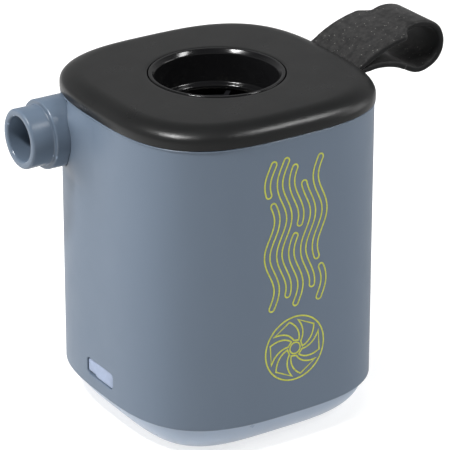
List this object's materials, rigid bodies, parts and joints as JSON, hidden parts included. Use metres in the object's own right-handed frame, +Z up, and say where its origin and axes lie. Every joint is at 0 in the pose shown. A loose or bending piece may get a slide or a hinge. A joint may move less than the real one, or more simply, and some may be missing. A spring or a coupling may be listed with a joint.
{
  "type": "electric air mattress pump",
  "caption": "Small rechargeable air mattress pump: rounded-square case, inlet in the lid, side nozzle, lamp base and silicone strap.",
  "frame": {"origin": "centre of the flat underside of the lamp base, on the axis of the case", "axes": "+Z up along the case, -X out through the nozzle and charging side, +Y the button side, +X the strap side"},
  "size_m": [0.0777, 0.0506, 0.0673],
  "materials": {
    "casing_plastic": "satin, fine moulded texture",
    "lid_plastic": "satin",
    "ring_plastic": "polished",
    "lamp_plastic": "translucent satin",
    "plug_silicone": "matt silicone",
    "strap_silicone": "matt silicone",
    "button_plastic": "satin",
    "fan_plastic": "moulded",
    "inner_plastic": "moulded",
    "foam": "matt foam",
    "steel": "plated",
    "magnet_ferrite": "matt ferrite",
    "copper": "enamelled",
    "circuit_board": "solder mask",
    "chip_plastic": "moulded",
    "led_lens": "phosphor",
    "battery_wrap": "foil pouch",
    "lead_red": "insulated",
    "lead_black": "insulated"
  },
  "bodies": {
    "case": {"body_shell": "casing_plastic", "outlet_nozzle": "casing_plastic", "top_cover": "lid_plastic", "inlet_ring": "ring_plastic", "inlet_grille": "inner_plastic", "inlet_gasket": "foam", "lamp_diffuser": "lamp_plastic", "volute_housing": "inner_plastic", "volute_cover": "inner_plastic", "motor_can": "steel", "motor_end_cap": "inner_plastic", "motor_bearing_upper": "steel", "motor_bearing_lower": "steel", "motor_magnet_1": "magnet_ferrite", "motor_magnet_2": "magnet_ferrite", "motor_terminal_1": "copper", "motor_terminal_2": "copper", "motor_screw_1": "steel", "motor_screw_2": "steel", "chassis": "inner_plastic", "battery_cell": "battery_wrap", "battery_pad": "foam", "main_board": "circuit_board", "charge_chip": "chip_plastic", "filter_capacitor": "chip_plastic", "board_screw_1": "steel", "board_screw_2": "steel", "lamp_led_1": "led_lens", "lamp_led_2": "led_lens", "lamp_led_3": "led_lens", "lamp_led_4": "led_lens", "lamp_led_5": "led_lens", "lamp_led_6": "led_lens", "usb_receptacle": "steel", "usb_tongue": "chip_plastic", "switch_board": "circuit_board", "tact_switch": "chip_plastic", "strap_anchor": "strap_silicone", "strap_pin_1": "steel", "strap_pin_2": "steel", "stack_screw_1": "steel", "stack_screw_2": "steel", "stack_screw_3": "steel", "motor_lead_1": "lead_red", "motor_lead_2": "lead_black", "battery_lead_1": "lead_red", "battery_lead_2": "lead_black", "switch_lead_1": "lead_black", "switch_lead_2": "lead_red"},
    "rotor": {"motor_shaft": "steel", "armature": "copper", "commutator": "copper", "impeller": "fan_plastic"},
    "button": {"power_button": "button_plastic", "tact_plunger": "chip_plastic"},
    "flap": {"usb_flap": "plug_silicone"},
    "strap": {"strap_loop": "strap_silicone"}
  },
  "joints": [
    {"name": "impeller_spin", "type": "hinge", "parent": "case", "child": "rotor", "pos_m": [0, 0, 0.03], "axis": [0, 0, 1], "continuous": true},
    {"name": "power_button_press", "type": "slide", "parent": "case", "child": "button", "axis": [0, -1, 0], "range_m": [0, 0.0005], "stiffness_N_per_m": 800},
    {"name": "usb_flap_open", "type": "hinge", "parent": "case", "child": "flap", "pos_m": [-0.0241, 0.00358, 0.0098], "axis": [0, 0, -1], "range_deg": [0, 90], "stiffness_Nm_per_rad": 0.0005},
    {"name": "strap_flex", "type": "hinge", "parent": "case", "child": "strap", "pos_m": [0.0264, -0.002, 0.06175], "axis": [0, 1, 0], "range_deg": [-35, 60], "stiffness_Nm_per_rad": 0.02}
  ]
}
